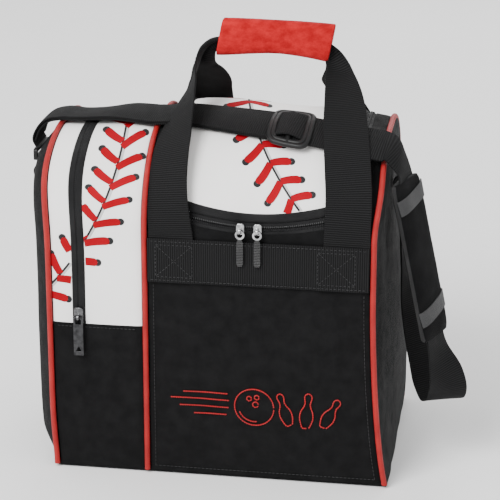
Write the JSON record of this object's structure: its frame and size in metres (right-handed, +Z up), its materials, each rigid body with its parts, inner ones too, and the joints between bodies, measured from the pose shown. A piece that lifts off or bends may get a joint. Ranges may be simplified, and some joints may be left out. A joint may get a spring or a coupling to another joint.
{
  "type": "bowling bag",
  "caption": "Soft single-ball bowling tote with a hinged zip lid, end accessory pocket, folding webbing carry handle with padded grip, and a padded shoulder strap.",
  "frame": {"origin": "on the floor, under the middle of the bag's depth, at the bag's mid length", "axes": "+Z up, +X towards the ball compartment's end, -Y towards the front"},
  "size_m": [0.4427, 0.2391, 0.435],
  "materials": {
    "body_fabric": "matte woven polyester",
    "print_fabric": "smooth printed polyester, off-white with red stitches",
    "webbing": "ribbed polypropylene webbing",
    "piping": "red wrapped piping",
    "zip_tape": "woven zipper tape",
    "zip_coil": "nylon coil",
    "slider_metal": "polished plating",
    "pull_metal": "gunmetal",
    "pull_rubber": "ribbed rubber",
    "grip_fabric": "soft mottled suede-like cloth",
    "pad_fabric": "knitted spacer cloth",
    "ring_metal": "black",
    "black_plastic": "glossy moulded",
    "board": "stiff board",
    "foam": "closed-cell foam"
  },
  "bodies": {
    "bag": {"back_band": "webbing", "back_panel": "body_fabric", "bag_zip_coil": "zip_coil", "bag_zip_tape": "zip_tape", "ball_cup": "foam", "base_board": "board", "base_panel": "body_fabric", "divider_panel": "body_fabric", "front_band": "webbing", "front_panel": "body_fabric", "front_strap_ends": "webbing", "left_ring": "ring_metal", "left_ring_tab": "webbing", "left_side_panel": "body_fabric", "left_swivel": "black_plastic", "piping_divider": "piping", "piping_left": "piping", "piping_right": "piping", "pocket_back_panel": "body_fabric", "pocket_front_lower": "body_fabric", "pocket_print_left": "print_fabric", "pocket_print_right": "print_fabric", "pocket_zip_coil": "zip_coil", "pocket_zip_tape": "zip_tape", "rear_strap_ends": "webbing", "right_ring": "ring_metal", "right_ring_tab": "webbing", "right_side_panel": "body_fabric", "right_swivel": "black_plastic", "strap_in_pad": "webbing", "strap_left_drop": "webbing", "strap_loop": "webbing", "strap_over_pocket": "webbing", "strap_over_right": "webbing", "strap_right_drop": "webbing", "top_strip_left": "body_fabric", "top_strip_right": "body_fabric"},
    "lid": {"lid_panel": "print_fabric", "lid_welt": "zip_tape", "lid_zip_tape": "zip_tape", "lid_zip_coil": "zip_coil", "strap_over_lid": "webbing"},
    "tri_glide": {"tri_glide": "black_plastic"},
    "front_handle": {"front_handle_strap": "webbing", "grip_wrap": "grip_fabric", "grip_flap": "grip_fabric"},
    "rear_handle": {"rear_handle_strap": "webbing"},
    "main_slider_left": {"main_slider_left": "slider_metal"},
    "main_slider_right": {"main_slider_right": "slider_metal"},
    "main_pull_left": {"main_pull_ring_left": "slider_metal", "main_pull_left": "pull_rubber"},
    "main_pull_right": {"main_pull_ring_right": "slider_metal", "main_pull_right": "pull_rubber"},
    "pocket_slider": {"pocket_slider": "slider_metal"},
    "pocket_pull": {"pocket_pull": "pull_metal"},
    "left_hook": {"left_hook": "black_plastic"},
    "right_hook": {"right_hook": "black_plastic"},
    "shoulder_pad": {"shoulder_pad": "pad_fabric"}
  },
  "joints": [
    {"name": "lid_hinge", "type": "hinge", "parent": "bag", "child": "lid", "pos_m": [0, 0.0961, 0.30329], "axis": [-1, 0, 0], "range_deg": [0, 110]},
    {"name": "front_handle_fold", "type": "hinge", "parent": "bag", "child": "front_handle", "pos_m": [0, -0.1132, 0.252], "axis": [1, 0, 0], "range_deg": [0, 209], "deforming": ["front_handle_strap", "grip_flap"]},
    {"name": "rear_handle_fold", "type": "hinge", "parent": "bag", "child": "rear_handle", "pos_m": [0, 0.1132, 0.252], "axis": [-1, 0, 0], "range_deg": [0, 209], "deforming": ["rear_handle_strap"]},
    {"name": "main_slider_left_travel", "type": "hinge", "parent": "lid", "child": "main_slider_left", "pos_m": [0.036, -0.11277, 0.49393], "axis": [0, -1, 0], "range_deg": [-7.5, 0]},
    {"name": "main_slider_right_travel", "type": "hinge", "parent": "lid", "child": "main_slider_right", "pos_m": [0.036, -0.11277, 0.49393], "axis": [0, -1, 0], "range_deg": [0, 10.5]},
    {"name": "main_pull_left_swing", "type": "hinge", "parent": "main_slider_left", "child": "main_pull_left", "pos_m": [0.0215, -0.11767, 0.25793], "axis": [-1, 0, 0], "range_deg": [0, 150]},
    {"name": "main_pull_right_swing", "type": "hinge", "parent": "main_slider_right", "child": "main_pull_right", "pos_m": [0.038, -0.11767, 0.25793], "axis": [-1, 0, 0], "range_deg": [0, 150]},
    {"name": "pocket_slider_travel", "type": "slide", "parent": "bag", "child": "pocket_slider", "axis": [0, 0, 1], "range_m": [0, 0.08]},
    {"name": "pocket_pull_swing", "type": "hinge", "parent": "pocket_slider", "child": "pocket_pull", "pos_m": [-0.1365, -0.1181, 0.162], "axis": [-1, 0, 0], "range_deg": [0, 150]},
    {"name": "left_hook_turn", "type": "hinge", "parent": "bag", "child": "left_hook", "pos_m": [-0.1955, -0.01095, 0.273], "axis": [0, 0, 1], "range_deg": [-18, 18]},
    {"name": "right_hook_turn", "type": "hinge", "parent": "bag", "child": "right_hook", "pos_m": [0.1655, -0.02356, 0.286], "axis": [0, 0, 1], "range_deg": [-18, 18]},
    {"name": "shoulder_pad_slide", "type": "slide", "parent": "bag", "child": "shoulder_pad", "axis": [0.2033, -0.0318, -0.9786], "range_m": [-0.01, 0.012]},
    {"name": "tri_glide_slide", "type": "slide", "parent": "lid", "child": "tri_glide", "axis": [0.9822, -0.1748, -0.0688], "range_m": [-0.01, 0.006]}
  ],
  "couplings": [
    {"joint": "front_handle_fold", "follows": "lid_hinge", "ratio": 1.9},
    {"joint": "rear_handle_fold", "follows": "lid_hinge", "ratio": 1.9}
  ]
}
